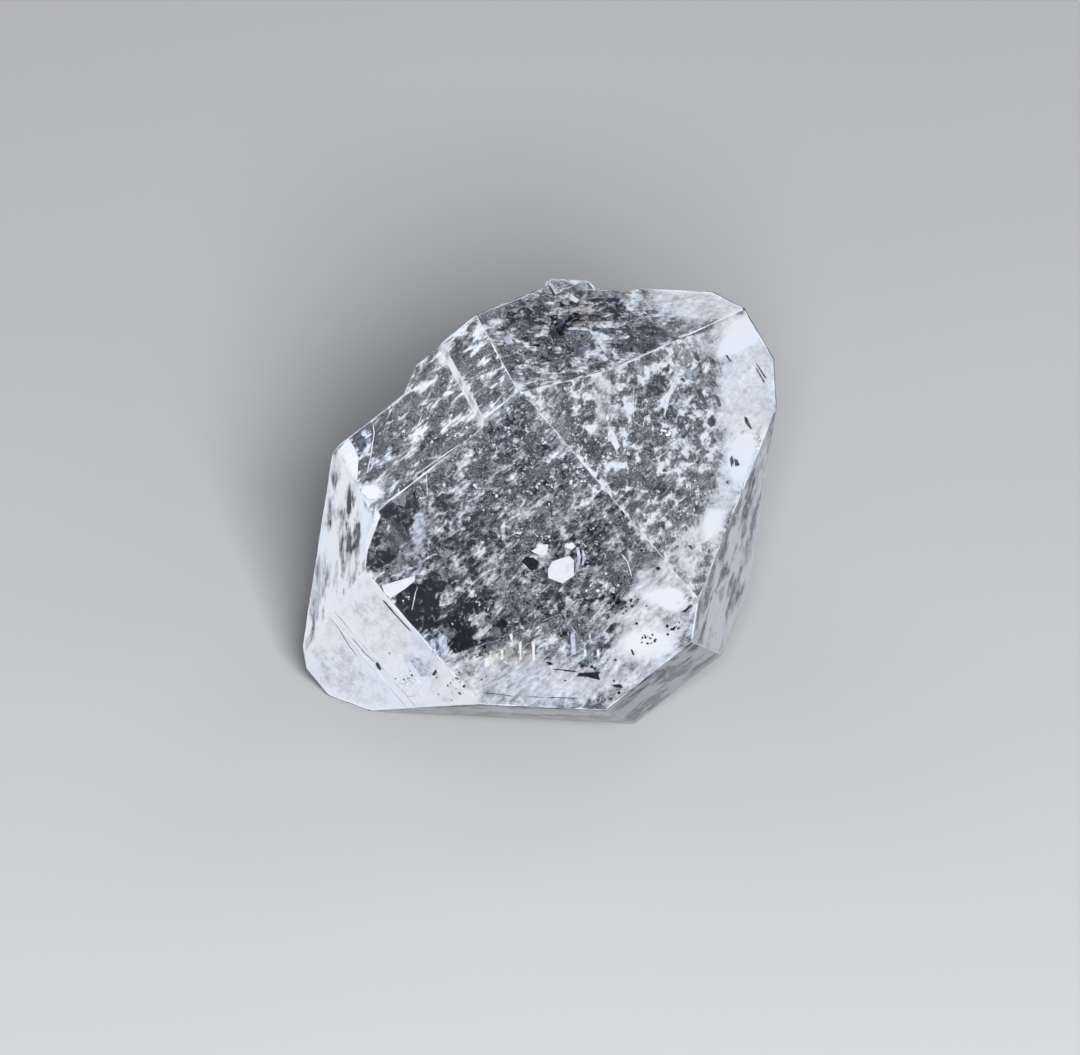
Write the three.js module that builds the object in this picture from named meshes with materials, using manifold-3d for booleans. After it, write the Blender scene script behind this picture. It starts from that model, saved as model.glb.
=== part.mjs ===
// Herkimer diamond: one clear, double-terminated quartz crystal, 28 mm across its long diagonal.
//
// Millimetres, +Z up. The crystal lies on a pyramid face, so its long c axis climbs from the foot, low on the
// left, to the head, high on the right. A face is a plane given the way a crystallographer gives one: an azimuth
// about the c axis, a lean of its normal towards the head (+) or the foot (-), and a distance from the crystal's
// centre. Every cut takes away what lies beyond its planes.
import * as THREE from 'three';
import { mergeVertices } from 'three/addons/utils/BufferGeometryUtils.js';
import Module from 'manifold-3d';

const wasm = await Module();
wasm.setup();

// ---- Driving dimensions, in millimetres and degrees --------------------------------------------------------------

const PYRAMID_LEAN = 38.21; // lean of the pyramid faces, the same on every quartz crystal
const AXIS_HEADING = 21.9; // from +X to the c axis, seen from above
const BLOCK = 60; // edge of the raw block and of the cutters, far larger than the crystal

// Azimuths of the six sectors about the c axis. The crystal lies on the sector named under.
const SECTOR = { under: 0, backLow: 60, backHigh: 120, top: 180, frontHigh: 240, frontLow: 300 };

// Distances of the natural faces: the prism girdle, the head pyramid and the foot pyramid.
const PRISM = { under: 7.35, backLow: 8.6, backHigh: 6.85, top: 8.65, frontHigh: 6.75, frontLow: 10.25 };
const HEAD = { under: 8.7, backLow: 9.75, backHigh: 9.48, frontHigh: 7.57, frontLow: 9.4 };
const FOOT = { under: 7.5, backLow: 6.35, backHigh: 8.1, top: 9.78, frontHigh: 9.67, frontLow: 9.82 };

// The head's top face grew as two sheets that meet in a shallow valley.
const VALLEY = [headFace('top', 8.4), plane(SECTOR.top, 45, 8.62)];

// Growth layers of the prism that stop short of the foot, with a pyramid face as the riser of each.
const GIRDLE_STEPS = [
  [prismFace('top', 8.4), footFace('top', 5.85)],
  [prismFace('backHigh', 5.98), footFace('backHigh', 5.45)],
  [prismFace('backLow', 8.38), footFace('backLow', 5.6)],
];

// The crest of the head steps down to the left, with a prism face as the riser.
const CREST_STEP = [headFace('backHigh', 9.33), prismFace('backHigh', 4.7)];

// The front of the foot has two growth ledges. Their risers face straight down the c axis.
const FOOT_LEDGES = [
  [footFace('frontHigh', 9.61), downAxis(9.69)],
  [footFace('frontHigh', 9.55), downAxis(10.1)],
];

// Worn corners. The wear on the back of the head reaches only a little way down from its tip.
const HEAD_WEAR = [plane(45, 40, 8.25), upAxis(10.6)];
const FOOT_WEAR = [plane(150, -60, 11.6)];

// A small crystal in parallel growth on the crest. The faces that don't show lie inside the large crystal.
const CREST_PRISM = { under: 3, backLow: 5, backHigh: 7.1, top: 5.8, frontHigh: 3, frontLow: 5 };
const CREST_HEAD = { under: 5, backLow: 6.12, backHigh: 9.74, top: 8.6, frontHigh: 3.72, frontLow: 5 };
const CREST_FOOT = { under: 3, backLow: 3, backHigh: 1.62, top: 5, frontHigh: 3, frontLow: 3 };

// ---- Planes ------------------------------------------------------------------------------------------------------

function plane(azimuth, lean, distance) {
  return { azimuth, lean, distance };
}

function prismFace(sector, distance) {
  return plane(SECTOR[sector], 0, distance);
}

function headFace(sector, distance) {
  return plane(SECTOR[sector], PYRAMID_LEAN, distance);
}

function footFace(sector, distance) {
  return plane(SECTOR[sector], -PYRAMID_LEAN, distance);
}

function upAxis(distance) {
  return plane(0, 90, distance);
}

function downAxis(distance) {
  return plane(0, -90, distance);
}

function normalOf({ azimuth, lean }) {
  const around = THREE.MathUtils.degToRad(azimuth);
  const up = THREE.MathUtils.degToRad(lean);
  return new THREE.Vector3(Math.cos(up) * Math.cos(around), Math.cos(up) * Math.sin(around), Math.sin(up));
}

// ---- Solids and cuts ---------------------------------------------------------------------------------------------

function toSolid(geometry) {
  const bare = geometry.clone();
  bare.deleteAttribute('normal');
  bare.deleteAttribute('uv');
  const merged = mergeVertices(bare, 1e-5);
  return new wasm.Manifold(new wasm.Mesh({
    numProp: 3,
    vertProperties: new Float32Array(merged.attributes.position.array),
    triVerts: new Uint32Array(merged.index.array),
  }));
}

function toGeometry(solid) {
  const { vertProperties, triVerts } = solid.getMesh();
  const geometry = new THREE.BufferGeometry();
  geometry.setAttribute('position', new THREE.BufferAttribute(new Float32Array(vertProperties), 3));
  geometry.setIndex(new THREE.BufferAttribute(new Uint32Array(triVerts), 1));
  geometry.computeVertexNormals();
  return geometry;
}

// The half of space beyond a plane, as a block that stands on it.
function beyond(face) {
  const outward = normalOf(face);
  const block = new THREE.BoxGeometry(BLOCK, BLOCK, BLOCK);
  block.applyQuaternion(new THREE.Quaternion().setFromUnitVectors(new THREE.Vector3(0, 0, 1), outward));
  block.translate(...outward.multiplyScalar(face.distance + BLOCK / 2).toArray());
  return toSolid(block);
}

// One plane cuts a face. Two cut a ledge, because only what lies beyond both of them goes.
function carve(solid, cut) {
  const waste = cut.map(beyond).reduce((common, half) => common.intersect(half));
  return solid.subtract(waste);
}

// One cut for each face of a zone, made by prismFace, headFace or footFace.
function zoneCuts(faceOf, zone) {
  return Object.entries(zone).map(([sector, distance]) => [faceOf(sector, distance)]);
}

function grow(prism, head, foot, features = []) {
  const cuts = [
    ...zoneCuts(prismFace, prism),
    ...zoneCuts(headFace, head),
    ...zoneCuts(footFace, foot),
    ...features,
  ];
  return cuts.reduce(carve, toSolid(new THREE.BoxGeometry(BLOCK, BLOCK, BLOCK)));
}

// ---- The crystal -------------------------------------------------------------------------------------------------

const features = [VALLEY, ...GIRDLE_STEPS, CREST_STEP, ...FOOT_LEDGES, HEAD_WEAR, FOOT_WEAR];
const largeCrystal = grow(PRISM, HEAD, FOOT, features);
const crestCrystal = grow(CREST_PRISM, CREST_HEAD, CREST_FOOT);

const quartz = new THREE.MeshStandardMaterial({ color: 0xdfe6ee, roughness: 0.06, metalness: 0, flatShading: true });
const crystal = new THREE.Mesh(toGeometry(largeCrystal.add(crestCrystal)), quartz);
crystal.name = 'quartz_crystal';

// Lays the crystal on the foot pyramid's face of the sector under, then turns the c axis to its heading.
const laid = new THREE.Group();
laid.rotation.y = THREE.MathUtils.degToRad(90 - PYRAMID_LEAN);
laid.add(crystal);
const turned = new THREE.Group();
turned.rotation.z = THREE.MathUtils.degToRad(AXIS_HEADING);
turned.add(laid);

// Puts the origin at the middle of the bottom of the crystal's box.
const part = new THREE.Group();
part.add(turned);
const box = new THREE.Box3().setFromObject(part, true);
const middle = box.getCenter(new THREE.Vector3());
turned.position.set(-middle.x, -middle.y, -box.min.z);

export default part;
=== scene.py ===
# Herkimer diamond: a clear, double-terminated quartz crystal on a pale floor.
#
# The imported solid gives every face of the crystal. This script makes the fine surface of those faces
# and what lies inside the crystal. Lengths are millimetres, turned into metres where Blender needs them.
import itertools
import math

import bpy
import numpy as np
from mathutils import Matrix, Vector
from mathutils.bvhtree import BVHTree
from mathutils.geometry import delaunay_2d_cdt


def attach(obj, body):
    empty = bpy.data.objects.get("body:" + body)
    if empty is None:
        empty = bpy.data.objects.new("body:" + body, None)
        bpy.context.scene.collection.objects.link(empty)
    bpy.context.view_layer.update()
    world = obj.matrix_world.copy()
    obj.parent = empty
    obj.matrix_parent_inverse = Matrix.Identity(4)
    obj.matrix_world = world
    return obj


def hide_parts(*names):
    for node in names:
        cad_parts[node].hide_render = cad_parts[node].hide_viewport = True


MM = 0.001
QUARTZ_IOR = 1.544

# The camera's view: its axes in the row frame, and the crystal's centre, which it looks at.
VIEW_RIGHT = Vector((0.9974, 0.0448, 0.0557))
VIEW_UP = Vector((-0.0715, 0.6250, 0.7773))
VIEW_BACK = Vector((0.0, -0.7793, 0.6266))
CRYSTAL_CENTRE = Vector((-0.05, -0.37, 7.5))
# The same as arrays, for many points at once.
RIGHT, UP, BACK, CENTRE = (np.array(v) for v in (VIEW_RIGHT, VIEW_UP, VIEW_BACK, CRYSTAL_CENTRE))
AIM_BELOW_CENTRE = 1.24
FRAME_WIDTH = 48.6
LENS = 1000.0
SENSOR = 36.0
LIGHT_DISTANCE = 300

# The c axis, the crystal's length, climbs from the foot to the head. The face in sector 0 points down.
AXIS_CLIMB = 38.21
AXIS_HEADING = 21.9
PYRAMID_LEAN = 38.21
SECTORS = ("under", "backLow", "backHigh", "top", "frontHigh", "frontLow")


# ---- Small helpers -------------------------------------------------------------------------------

def direction(azimuth, elevation):
    around = math.radians(azimuth)
    up = math.radians(elevation)
    return Vector((math.cos(up) * math.cos(around), math.cos(up) * math.sin(around), math.sin(up)))


def unit(vectors):
    return vectors / np.maximum(np.linalg.norm(vectors, axis=-1, keepdims=True), 1e-12)


def add_object(name, data):
    thing = bpy.data.objects.new(name, data)
    bpy.context.scene.collection.objects.link(thing)
    return thing


def add_mesh(name, points, faces, material):
    """A mesh from points in millimetres and lists of the points' numbers."""
    mesh = bpy.data.meshes.new(name)
    mesh.from_pydata((points * MM).tolist(), [], faces)
    mesh.materials.append(material)
    return add_object(name, mesh)


def add_piece(name, points, faces, material):
    """A mesh that is part of the crystal."""
    piece = add_mesh(name, points, faces, material)
    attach(piece, "root")
    return piece


def edges_of(face):
    """The directed edges of a face, as pairs of its points' numbers."""
    return zip(face, face[1:] + face[:1])


def open_edges(faces):
    """The directed edges that no other face passes the other way."""
    found = {}
    for face in faces:
        for edge in edges_of(face):
            if edge[::-1] in found:
                del found[edge[::-1]]
            else:
                found[edge] = True
    return list(found)


def two_triangles(a, b, step):
    """The strip between points a and b and the two whose numbers are higher by the step."""
    return [(a, a + step, b + step), (a, b + step, b)]


def joined(shapes):
    """The points and faces of many shapes as those of one."""
    all_points, all_faces, count = [], [], 0
    for points, faces in shapes:
        all_points.append(points)
        all_faces.extend([number + count for number in face] for face in faces)
        count += len(points)
    return np.concatenate(all_points), all_faces


class Noise:
    """Smooth random values from -1 to 1 on a grid of unit cells, for points of 2 or 3 coordinates."""

    def __init__(self, seed):
        draw = np.random.default_rng(seed)
        self.table = draw.permutation(256)
        self.values = draw.uniform(-1, 1, 256)

    def corner(self, cells):
        key = self.table[cells[:, 0] % 256]
        for k in range(1, cells.shape[1]):
            key = self.table[(key + cells[:, k]) % 256]
        return self.values[key]

    def __call__(self, points):
        low = np.floor(points).astype(int)
        part = points - low
        ease = part * part * (3 - 2 * part)
        total = np.zeros(len(points))
        for corner in itertools.product((0, 1), repeat=points.shape[1]):
            weight = np.prod(np.where(corner, ease, 1 - ease), axis=1)
            total += weight * self.corner(low + np.array(corner))
        return total

    def layered(self, points, layers=3):
        return sum(self(points * 2 ** k + 17 * k) / 2 ** k for k in range(layers))


# ---- Studio --------------------------------------------------------------------------------------

def make_camera():
    camera = add_object("camera", bpy.data.cameras.new("camera"))
    camera.data.lens = LENS
    camera.data.sensor_width = SENSOR
    distance = FRAME_WIDTH * LENS / SENSOR
    aim = CRYSTAL_CENTRE - AIM_BELOW_CENTRE * VIEW_UP
    camera.location = (aim + distance * VIEW_BACK) * MM
    camera.rotation_euler = Matrix((VIEW_RIGHT, VIEW_UP, VIEW_BACK)).transposed().to_euler()
    camera.data.clip_start = 0.05
    camera.data.clip_end = 20.0
    bpy.context.scene.camera = camera


def softbox(name, azimuth, elevation, width, height, radiance):
    """A soft light aimed at the crystal, seen by the crystal and the floor but not by the camera."""
    light = bpy.data.lights.new(name, "AREA")
    light.shape = "RECTANGLE"
    light.size = width * MM
    light.size_y = height * MM
    light.energy = radiance * math.pi * light.size * light.size_y
    box = add_object(name, light)
    away = direction(azimuth, elevation)
    box.location = (CRYSTAL_CENTRE + LIGHT_DISTANCE * away) * MM
    box.rotation_euler = away.to_track_quat("Z", "Y").to_euler()
    box.visible_camera = False
    return box


def light_inside(name, azimuth, elevation, radiance, inside):
    """A warmish softbox for the milky quartz and grains alone, which the crystal's surface doesn't block."""
    box = softbox(name, azimuth, elevation, INSIDE_LIGHT_SIZE, INSIDE_LIGHT_SIZE, radiance)
    box.data.color = (1.0, 0.89, 0.79)
    box.light_linking.receiver_collection = inside
    box.light_linking.blocker_collection = inside


# Lights for the crystal's surface and the floor: name, azimuth, elevation, width, height, brightness.
SOFTBOXES = [
    ("softbox_back_left", 138, 36, 200, 170, 0.6),
    ("softbox_right", 0, 30, 200, 150, 0.6),
    ("softbox_back_right", 54, 34, 130, 110, 1.3),
    ("softbox_front_right", -44, 19, 210, 90, 1.2),
    ("softbox_front_left", -108, 20, 90, 80, 1.4),
    ("softbox_left", -162, 9, 220, 80, 1.4),
    ("key", -80, 37, 130, 120, 18.0),
]
# Lights for what lies inside: name, azimuth, elevation, brightness.
INSIDE_LIGHTS = [
    ("key_inside", -80, 37, 6.5),
    ("left_inside", -150, 12, 7.4),
    ("right_inside", 0, 35, 3.2),
    ("back_inside", 100, 40, 3.9),
]
INSIDE_LIGHT_SIZE = 300


def make_studio(inside):
    world = bpy.data.worlds.new("studio")
    world.use_nodes = True
    world.node_tree.nodes["Background"].inputs["Color"].default_value = (0.02, 0.024, 0.032, 1.0)
    bpy.context.scene.world = world
    for light in SOFTBOXES:
        softbox(*light)
    for light in INSIDE_LIGHTS:
        light_inside(*light, inside)


def set_rendering():
    """Plain colours, no caustics, and enough bounces for light to pass all that lies in the crystal."""
    bpy.context.scene.view_settings.view_transform = "Standard"
    cycles = bpy.context.scene.cycles
    cycles.caustics_refractive = False
    cycles.caustics_reflective = False
    cycles.max_bounces = 24
    cycles.transmission_bounces = 24
    cycles.transparent_max_bounces = 32


def make_floor():
    half = 1500.0
    below = -0.02
    corners = np.array([(-half, -half, below), (half, -half, below),
                        (half, half, below), (-half, half, below)])
    material = new_material("floor_paper", Base_Color=(0.80, 0.81, 0.83, 1.0), Roughness=0.8)
    add_mesh("floor", corners, [(0, 1, 2, 3)], material)


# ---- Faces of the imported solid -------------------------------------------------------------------

def crystal_axes():
    """The c axis and the directions of azimuth 0 and 90 about it, in the row frame."""
    c_axis = np.array(direction(AXIS_HEADING, AXIS_CLIMB))
    azimuth_0 = np.array(direction(AXIS_HEADING, AXIS_CLIMB - 90))
    return c_axis, azimuth_0, np.cross(c_axis, azimuth_0)


C_AXIS, AZIMUTH_0, AZIMUTH_90 = crystal_axes()


def face_name(normal):
    """Names a plane by the crystal's habit, such as head_top, prism_under or foot_backLow."""
    lean = math.degrees(math.asin(max(-1.0, min(1.0, normal @ C_AXIS))))
    azimuth = math.degrees(math.atan2(normal @ AZIMUTH_90, normal @ AZIMUTH_0)) % 360
    sector = round(azimuth / 60) % 6
    zone = {-1: "foot", 0: "prism", 1: "head"}.get(round(lean / PYRAMID_LEAN))
    habit = zone is not None and abs(lean - PYRAMID_LEAN * round(lean / PYRAMID_LEAN)) < 1
    on_sector = abs((azimuth - 60 * sector + 180) % 360 - 180) < 1
    return f"{zone}_{SECTORS[sector]}" if habit and on_sector else "worn"


class Facet:
    """A flat face of the solid: its plane, its outline as directed pairs of corners, and its axes."""

    def __init__(self, normal, triangles, points):
        self.normal = normal
        self.name = face_name(normal)
        self.outline = open_edges(triangles)
        self.origin = points[self.outline[0][0]]
        along = C_AXIS - (C_AXIS @ normal) * normal
        if np.linalg.norm(along) < 0.1:
            along = AZIMUTH_0
        self.along = unit(along - (along @ normal) * normal)
        self.across = np.cross(self.along, normal)

    def flat(self, points):
        """Across and along coordinates in the face's plane, from the crystal's centre."""
        offset = points - CENTRE
        return np.stack([offset @ self.across, offset @ self.along], axis=-1)

    def solid(self, flat):
        """The points in space of across and along coordinates."""
        height = (self.origin - CENTRE) @ self.normal
        centre = CENTRE + height * self.normal
        return centre + flat[:, :1] * self.across + flat[:, 1:] * self.along


def welded(mesh):
    """The node's points in millimetres, each once, and its triangles."""
    points = np.zeros(len(mesh.vertices) * 3)
    mesh.vertices.foreach_get("co", points)
    points, place = np.unique(np.round(points.reshape(-1, 3) / MM, 4), axis=0, return_inverse=True)
    mesh.calc_loop_triangles()
    triangles = np.zeros(len(mesh.loop_triangles) * 3, int)
    mesh.loop_triangles.foreach_get("vertices", triangles)
    triangles = place.ravel()[triangles].reshape(-1, 3)
    return points, triangles[[len(set(t)) == 3 for t in triangles.tolist()]]


SAME_WAY = 0.9999  # least cosine between the normals of triangles that share a face
SAME_HEIGHT = 0.004  # greatest distance between their planes


def facets_of(points, triangles):
    """The flat faces, the one with the largest triangle first."""
    a, b, c = (points[triangles[:, k]] for k in range(3))
    crosses = np.cross(b - a, c - a)
    normals = unit(crosses)
    offsets = (normals * a).sum(1)
    left = set(range(len(triangles)))
    facets = []
    for seed in np.argsort(-np.linalg.norm(crosses, axis=1)):
        if seed not in left:
            continue
        near = (normals @ normals[seed] > SAME_WAY) & (np.abs(offsets - offsets[seed]) < SAME_HEIGHT)
        members = [k for k in np.flatnonzero(near) if k in left]
        left -= set(members)
        facets.append(Facet(normals[seed], triangles[members].tolist(), points))
    return facets


# ---- Fine surface --------------------------------------------------------------------------------

GRID = 0.125  # spacing of the surface's points
FADE = 0.45  # the relief dies out over this distance from an edge
EDGE_WEAR = 0.035  # depth to which an edge is worn
WEAR_PATCH = 0.6  # length over which the wear changes
CORNER_REACH = 1.8  # how far in, at most, a corner's inward way leads, for each millimetre of depth
ROW_STEP = 0.866  # of a hexagonal grid, as a share of the spacing
JITTER = 0.12
RIM_CLEARANCE = 0.55  # room between the grid and the outline, as a share of the spacing
RIDGE_LENGTH = 6.0

# Relief of a face: height, width and length of its low hills, then height and spacing of its striations.
SMOOTH = (0.003, 2.5, 4.0, 0.0008, 0.5)
GENTLE = (0.004, 1.6, 2.4, 0.001, 0.7)
HILLY = (0.045, 0.8, 1.2, 0.002, 0.6)
STRIATED = (0.004, 1.2, 1.6, 0.003, 0.55)
RELIEF = {
    "foot_backLow": HILLY,
    "foot_backHigh": GENTLE,
    "head_backLow": HILLY,
    "head_backHigh": HILLY,
    "head_under": GENTLE,
    "prism_under": GENTLE,
    "prism_backLow": HILLY,
    "prism_backHigh": STRIATED,
    "prism_top": STRIATED,
    "head_top": SMOOTH,
    "head_frontLow": (0.010, 0.6, 2.2, 0.0, 1.0),
    "prism_frontLow": STRIATED,
    "foot_frontLow": STRIATED,
    "worn": (0.012, 0.5, 0.5, 0.0, 1.0),
}

# The hills of the foot's back face fade out towards the foot's tip, between these distances up the c axis.
CALM_FOOT = (-6.5, -2.0)


def ramp(values, low, high):
    share = np.clip((values - low) / (high - low), 0, 1)
    return share * share * (3 - 2 * share)


def relief(facet, flat, seed):
    height, width, length, ridge, spacing = RELIEF.get(facet.name, SMOOTH)
    hills = Noise(seed).layered(flat / (width, length))
    ridges = Noise(seed + 1).layered(flat / (RIDGE_LENGTH, spacing), 2)
    if facet.name == "foot_backLow":
        up_axis = (facet.solid(flat) - CENTRE) @ C_AXIS
        hills *= 0.08 + 0.92 * ramp(up_axis, *CALM_FOOT)
    return height * hills + ridge * ridges


def distance_to_edges(flat, starts, ends):
    nearest = np.full(len(flat), 1e9)
    for a, b in zip(starts, ends):
        along = b - a
        share = np.clip(((flat - a) @ along) / max(along @ along, 1e-12), 0, 1)
        nearest = np.minimum(nearest, np.linalg.norm(flat - a - share[:, None] * along, axis=1))
    return nearest


def is_inside(flat, starts, ends):
    """Which points lie inside an outline: a ray from each crosses it an odd number of times."""
    inside = np.zeros(len(flat), bool)
    for a, b in zip(starts, ends):
        if a[1] == b[1]:
            continue
        spans = (a[1] > flat[:, 1]) != (b[1] > flat[:, 1])
        crossing = a[0] + (flat[:, 1] - a[1]) * (b[0] - a[0]) / (b[1] - a[1])
        inside ^= spans & (flat[:, 0] < crossing)
    return inside


def grid_inside(starts, ends, draw):
    """Points on a jittered hexagonal grid, inside an outline and clear of it."""
    low = starts.min(0)
    high = starts.max(0)
    rows = np.arange(low[1], high[1], GRID * ROW_STEP)
    columns = np.arange(low[0], high[0], GRID)
    x, y = np.meshgrid(columns, rows)
    x = x + GRID * 0.5 * (np.arange(len(rows)) % 2)[:, None]
    flat = np.stack([x.ravel(), y.ravel()], axis=1)
    flat += draw.uniform(-JITTER, JITTER, flat.shape) * GRID
    flat = flat[is_inside(flat, starts, ends)]
    return flat[distance_to_edges(flat, starts, ends) > RIM_CLEARANCE * GRID]


def within_outline(triangles, outline):
    """The triangles on the inner side of directed edges, found by spreading inwards from them."""
    owner = {edge: number for number, t in enumerate(triangles) for edge in edges_of(t)}
    outline = set(outline)
    waiting = sorted({owner[edge] for edge in outline if edge in owner})
    kept = set(waiting)
    while waiting:
        for a, b in edges_of(triangles[waiting.pop()]):
            beyond = owner.get((b, a))
            if (a, b) not in outline and beyond is not None and beyond not in kept:
                kept.add(beyond)
                waiting.append(beyond)
    return [triangles[number] for number in sorted(kept)]


class Skin:
    """Collects the fine surface: points, triangles and the sharp edges between faces.

    Each point has a move, which wears it down or raises it, and a way inwards to what lies below the faces.
    """

    def __init__(self, corners, facets):
        self.points = [corners]
        self.count = len(corners)
        self.faces = []
        self.sharp = []
        self.chains = {}
        self.is_convex = {}
        self.moves = [np.zeros_like(corners)]
        self.inward = [np.zeros_like(corners)]
        sides = {}
        for facet in facets:
            for a, b in facet.outline:
                sides.setdefault((min(a, b), max(a, b)), []).append((facet, a < b))
        self.wear_corners(sides)
        wear = Noise(5)
        for edge, faces in sides.items():
            self.add_edge(edge, faces, wear)

    def wear_corners(self, sides):
        around = {}
        for edge, faces in sides.items():
            for end in edge:
                around.setdefault(end, {}).update({id(facet): facet for facet, _ in faces})
        for corner, facets in around.items():
            normals = np.array([facet.normal for facet in facets.values()])
            self.moves[0][corner] = -EDGE_WEAR * unit(normals.sum(0))
            inward = -np.linalg.lstsq(normals, np.ones(len(normals)), rcond=0.05)[0]
            self.inward[0][corner] = inward * min(1.0, CORNER_REACH / np.linalg.norm(inward))

    def add_edge(self, edge, faces, wear):
        """Puts points along an edge, and wears them down where the edge is convex."""
        start, end = (self.points[0][corner] for corner in edge)
        steps = max(1, round(np.linalg.norm(end - start) / GRID))
        shares = np.arange(1, steps)[:, None] / steps
        inner = start + shares * (end - start)
        numbers = [edge[0], *range(self.count, self.count + len(inner)), edge[1]]
        self.count += len(inner)
        self.points.append(inner)
        self.chains[edge] = numbers
        self.sharp.extend(zip(numbers[:-1], numbers[1:]))
        forward = next((facet for facet, same in faces if same), faces[0][0])
        other = next((facet for facet, same in faces if not same), faces[-1][0])
        self.is_convex[edge] = np.cross(forward.normal, other.normal) @ (end - start) > 0
        mean = unit(forward.normal + other.normal)
        amount = EDGE_WEAR * (0.9 + 0.6 * wear(inner / WEAR_PATCH)) * float(self.is_convex[edge])
        self.moves.append(-amount[:, None] * mean)
        self.inward.append(np.tile(-mean / (mean @ forward.normal), (len(inner), 1)))

    def chain(self, a, b):
        """The numbers of the points from one corner to another along their edge."""
        numbers = self.chains[(min(a, b), max(a, b))]
        return numbers if a < b else numbers[::-1]

    def cover(self, facet, seed):
        """Fills a face with triangles and raises its relief."""
        chains = [self.chain(a, b) for a, b in facet.outline]
        edges = [pair for numbers in chains for pair in zip(numbers[:-1], numbers[1:])]
        rim = sorted({number for edge in edges for number in edge})
        place = {number: k for k, number in enumerate(rim)}
        all_points = np.concatenate(self.points)
        rim_flat = facet.flat(all_points[rim])
        corner_flat = {a: facet.flat(all_points[[a]])[0] for edge in facet.outline for a in edge}
        starts = np.array([corner_flat[a] for a, _ in facet.outline])
        ends = np.array([corner_flat[b] for _, b in facet.outline])
        flat = grid_inside(starts, ends, np.random.default_rng(seed))
        fading = np.clip(distance_to_edges(flat, starts, ends) / FADE, 0, 1)
        height = relief(facet, flat, seed) * fading * fading * (3 - 2 * fading)
        if facet.name == "foot_under":
            height[:] = 0.0
        joined = [Vector(p) for p in np.concatenate([rim_flat, flat]).tolist()]
        limits = [(place[a], place[b]) for a, b in edges]
        _, _, triangles, origins, _, _ = delaunay_2d_cdt(joined, limits, [], 1, 1e-7, True)
        numbers = rim + list(range(self.count, self.count + len(flat)))
        facet.faces = within_outline([[numbers[origins[k][0]] for k in t] for t in triangles], edges)
        self.faces.extend(facet.faces)
        self.points.append(facet.solid(flat))
        self.moves.append(height[:, None] * facet.normal)
        self.inward.append(np.tile(-facet.normal, (len(flat), 1)))
        self.count += len(flat)


def make_crystal(node, material):
    corners, triangles = welded(node.data)
    facets = facets_of(corners, triangles)
    skin = Skin(corners, facets)
    for number, facet in enumerate(facets):
        skin.cover(facet, 100 + 10 * number)
    points = np.concatenate(skin.points) + np.concatenate(skin.moves)
    points[:, 2] = np.maximum(points[:, 2], 0.0)
    crystal = add_piece("crystal_surface", points, skin.faces, material)
    crystal.data.shade_smooth()
    sharp = {tuple(sorted(edge)) for edge in skin.sharp}
    for edge in crystal.data.edges:
        edge.use_edge_sharp = tuple(sorted(edge.vertices)) in sharp
    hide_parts("quartz_crystal")
    return BVHTree.FromPolygons(corners.tolist(), triangles.tolist()), skin, facets


# ---- Materials -----------------------------------------------------------------------------------

def new_material(name, **values):
    """A material whose shader's sockets have these values. An underscore stands for a space."""
    material = bpy.data.materials.new(name)
    material.use_nodes = True
    shader = material.node_tree.nodes["Principled BSDF"]
    for socket, value in values.items():
        shader.inputs[socket.replace("_", " ")].default_value = value
    return material


def quartz_material():
    """Clear quartz, tinted so that its windows stay dark on a pale floor."""
    material = new_material("quartz", Base_Color=(0.25, 0.30, 0.39, 1.0), Roughness=0.0, IOR=QUARTZ_IOR,
                            Transmission_Weight=1.0)
    nodes = material.node_tree.nodes
    tint = nodes.new("ShaderNodeVolumeAbsorption")
    tint.inputs["Color"].default_value = (0.80, 0.90, 1.0, 1.0)
    tint.inputs["Density"].default_value = 2.0
    output = nodes["Material Output"]
    material.node_tree.links.new(tint.outputs["Volume"], output.inputs["Volume"])
    return material


def add_attribute(material, name, output="Fac"):
    """A value that the mesh holds for each of its points."""
    node = material.node_tree.nodes.new("ShaderNodeAttribute")
    node.attribute_name = name
    return node.outputs[output]


def add_noise(material, size, detail, roughness, stretch=1.0, kind="ShaderNodeTexNoise", shift=0.0):
    """A noise texture whose features are this wide, and longer along the streaks by the stretch."""
    nodes = material.node_tree.nodes
    link = material.node_tree.links.new
    place = nodes.new("ShaderNodeMapping")
    place.vector_type = "TEXTURE"
    place.inputs["Scale"].default_value = (size, size, size * stretch)
    place.inputs["Location"].default_value = (shift, shift, shift)
    link(add_attribute(material, "place", "Vector"), place.inputs["Vector"])
    texture = nodes.new(kind)
    texture.inputs["Scale"].default_value = 1.0
    texture.inputs["Detail"].default_value = detail
    texture.inputs["Roughness"].default_value = roughness
    link(place.outputs["Vector"], texture.inputs["Vector"])
    return texture


def add_math(material, operation, *values, clamp=False):
    node = material.node_tree.nodes.new("ShaderNodeMath")
    node.operation = operation
    node.use_clamp = clamp
    for socket, value in zip(node.inputs, values):
        if isinstance(value, (int, float)):
            socket.default_value = value
        else:
            material.node_tree.links.new(value, socket)
    return node.outputs[0]


def add_sum(material, offset, *terms):
    """The offset plus every value times its weight."""
    total = offset
    for value, weight in terms:
        total = add_math(material, "MULTIPLY_ADD", value, weight, total)
    return total


def add_ramp(material, share, first, second):
    """A colour that goes from the first to the second as the share goes from 0 to 1."""
    node = material.node_tree.nodes.new("ShaderNodeValToRGB")
    material.node_tree.links.new(share, node.inputs["Fac"])
    node.color_ramp.elements[0].color = first
    node.color_ramp.elements[1].color = second
    return node.outputs["Color"]


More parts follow.
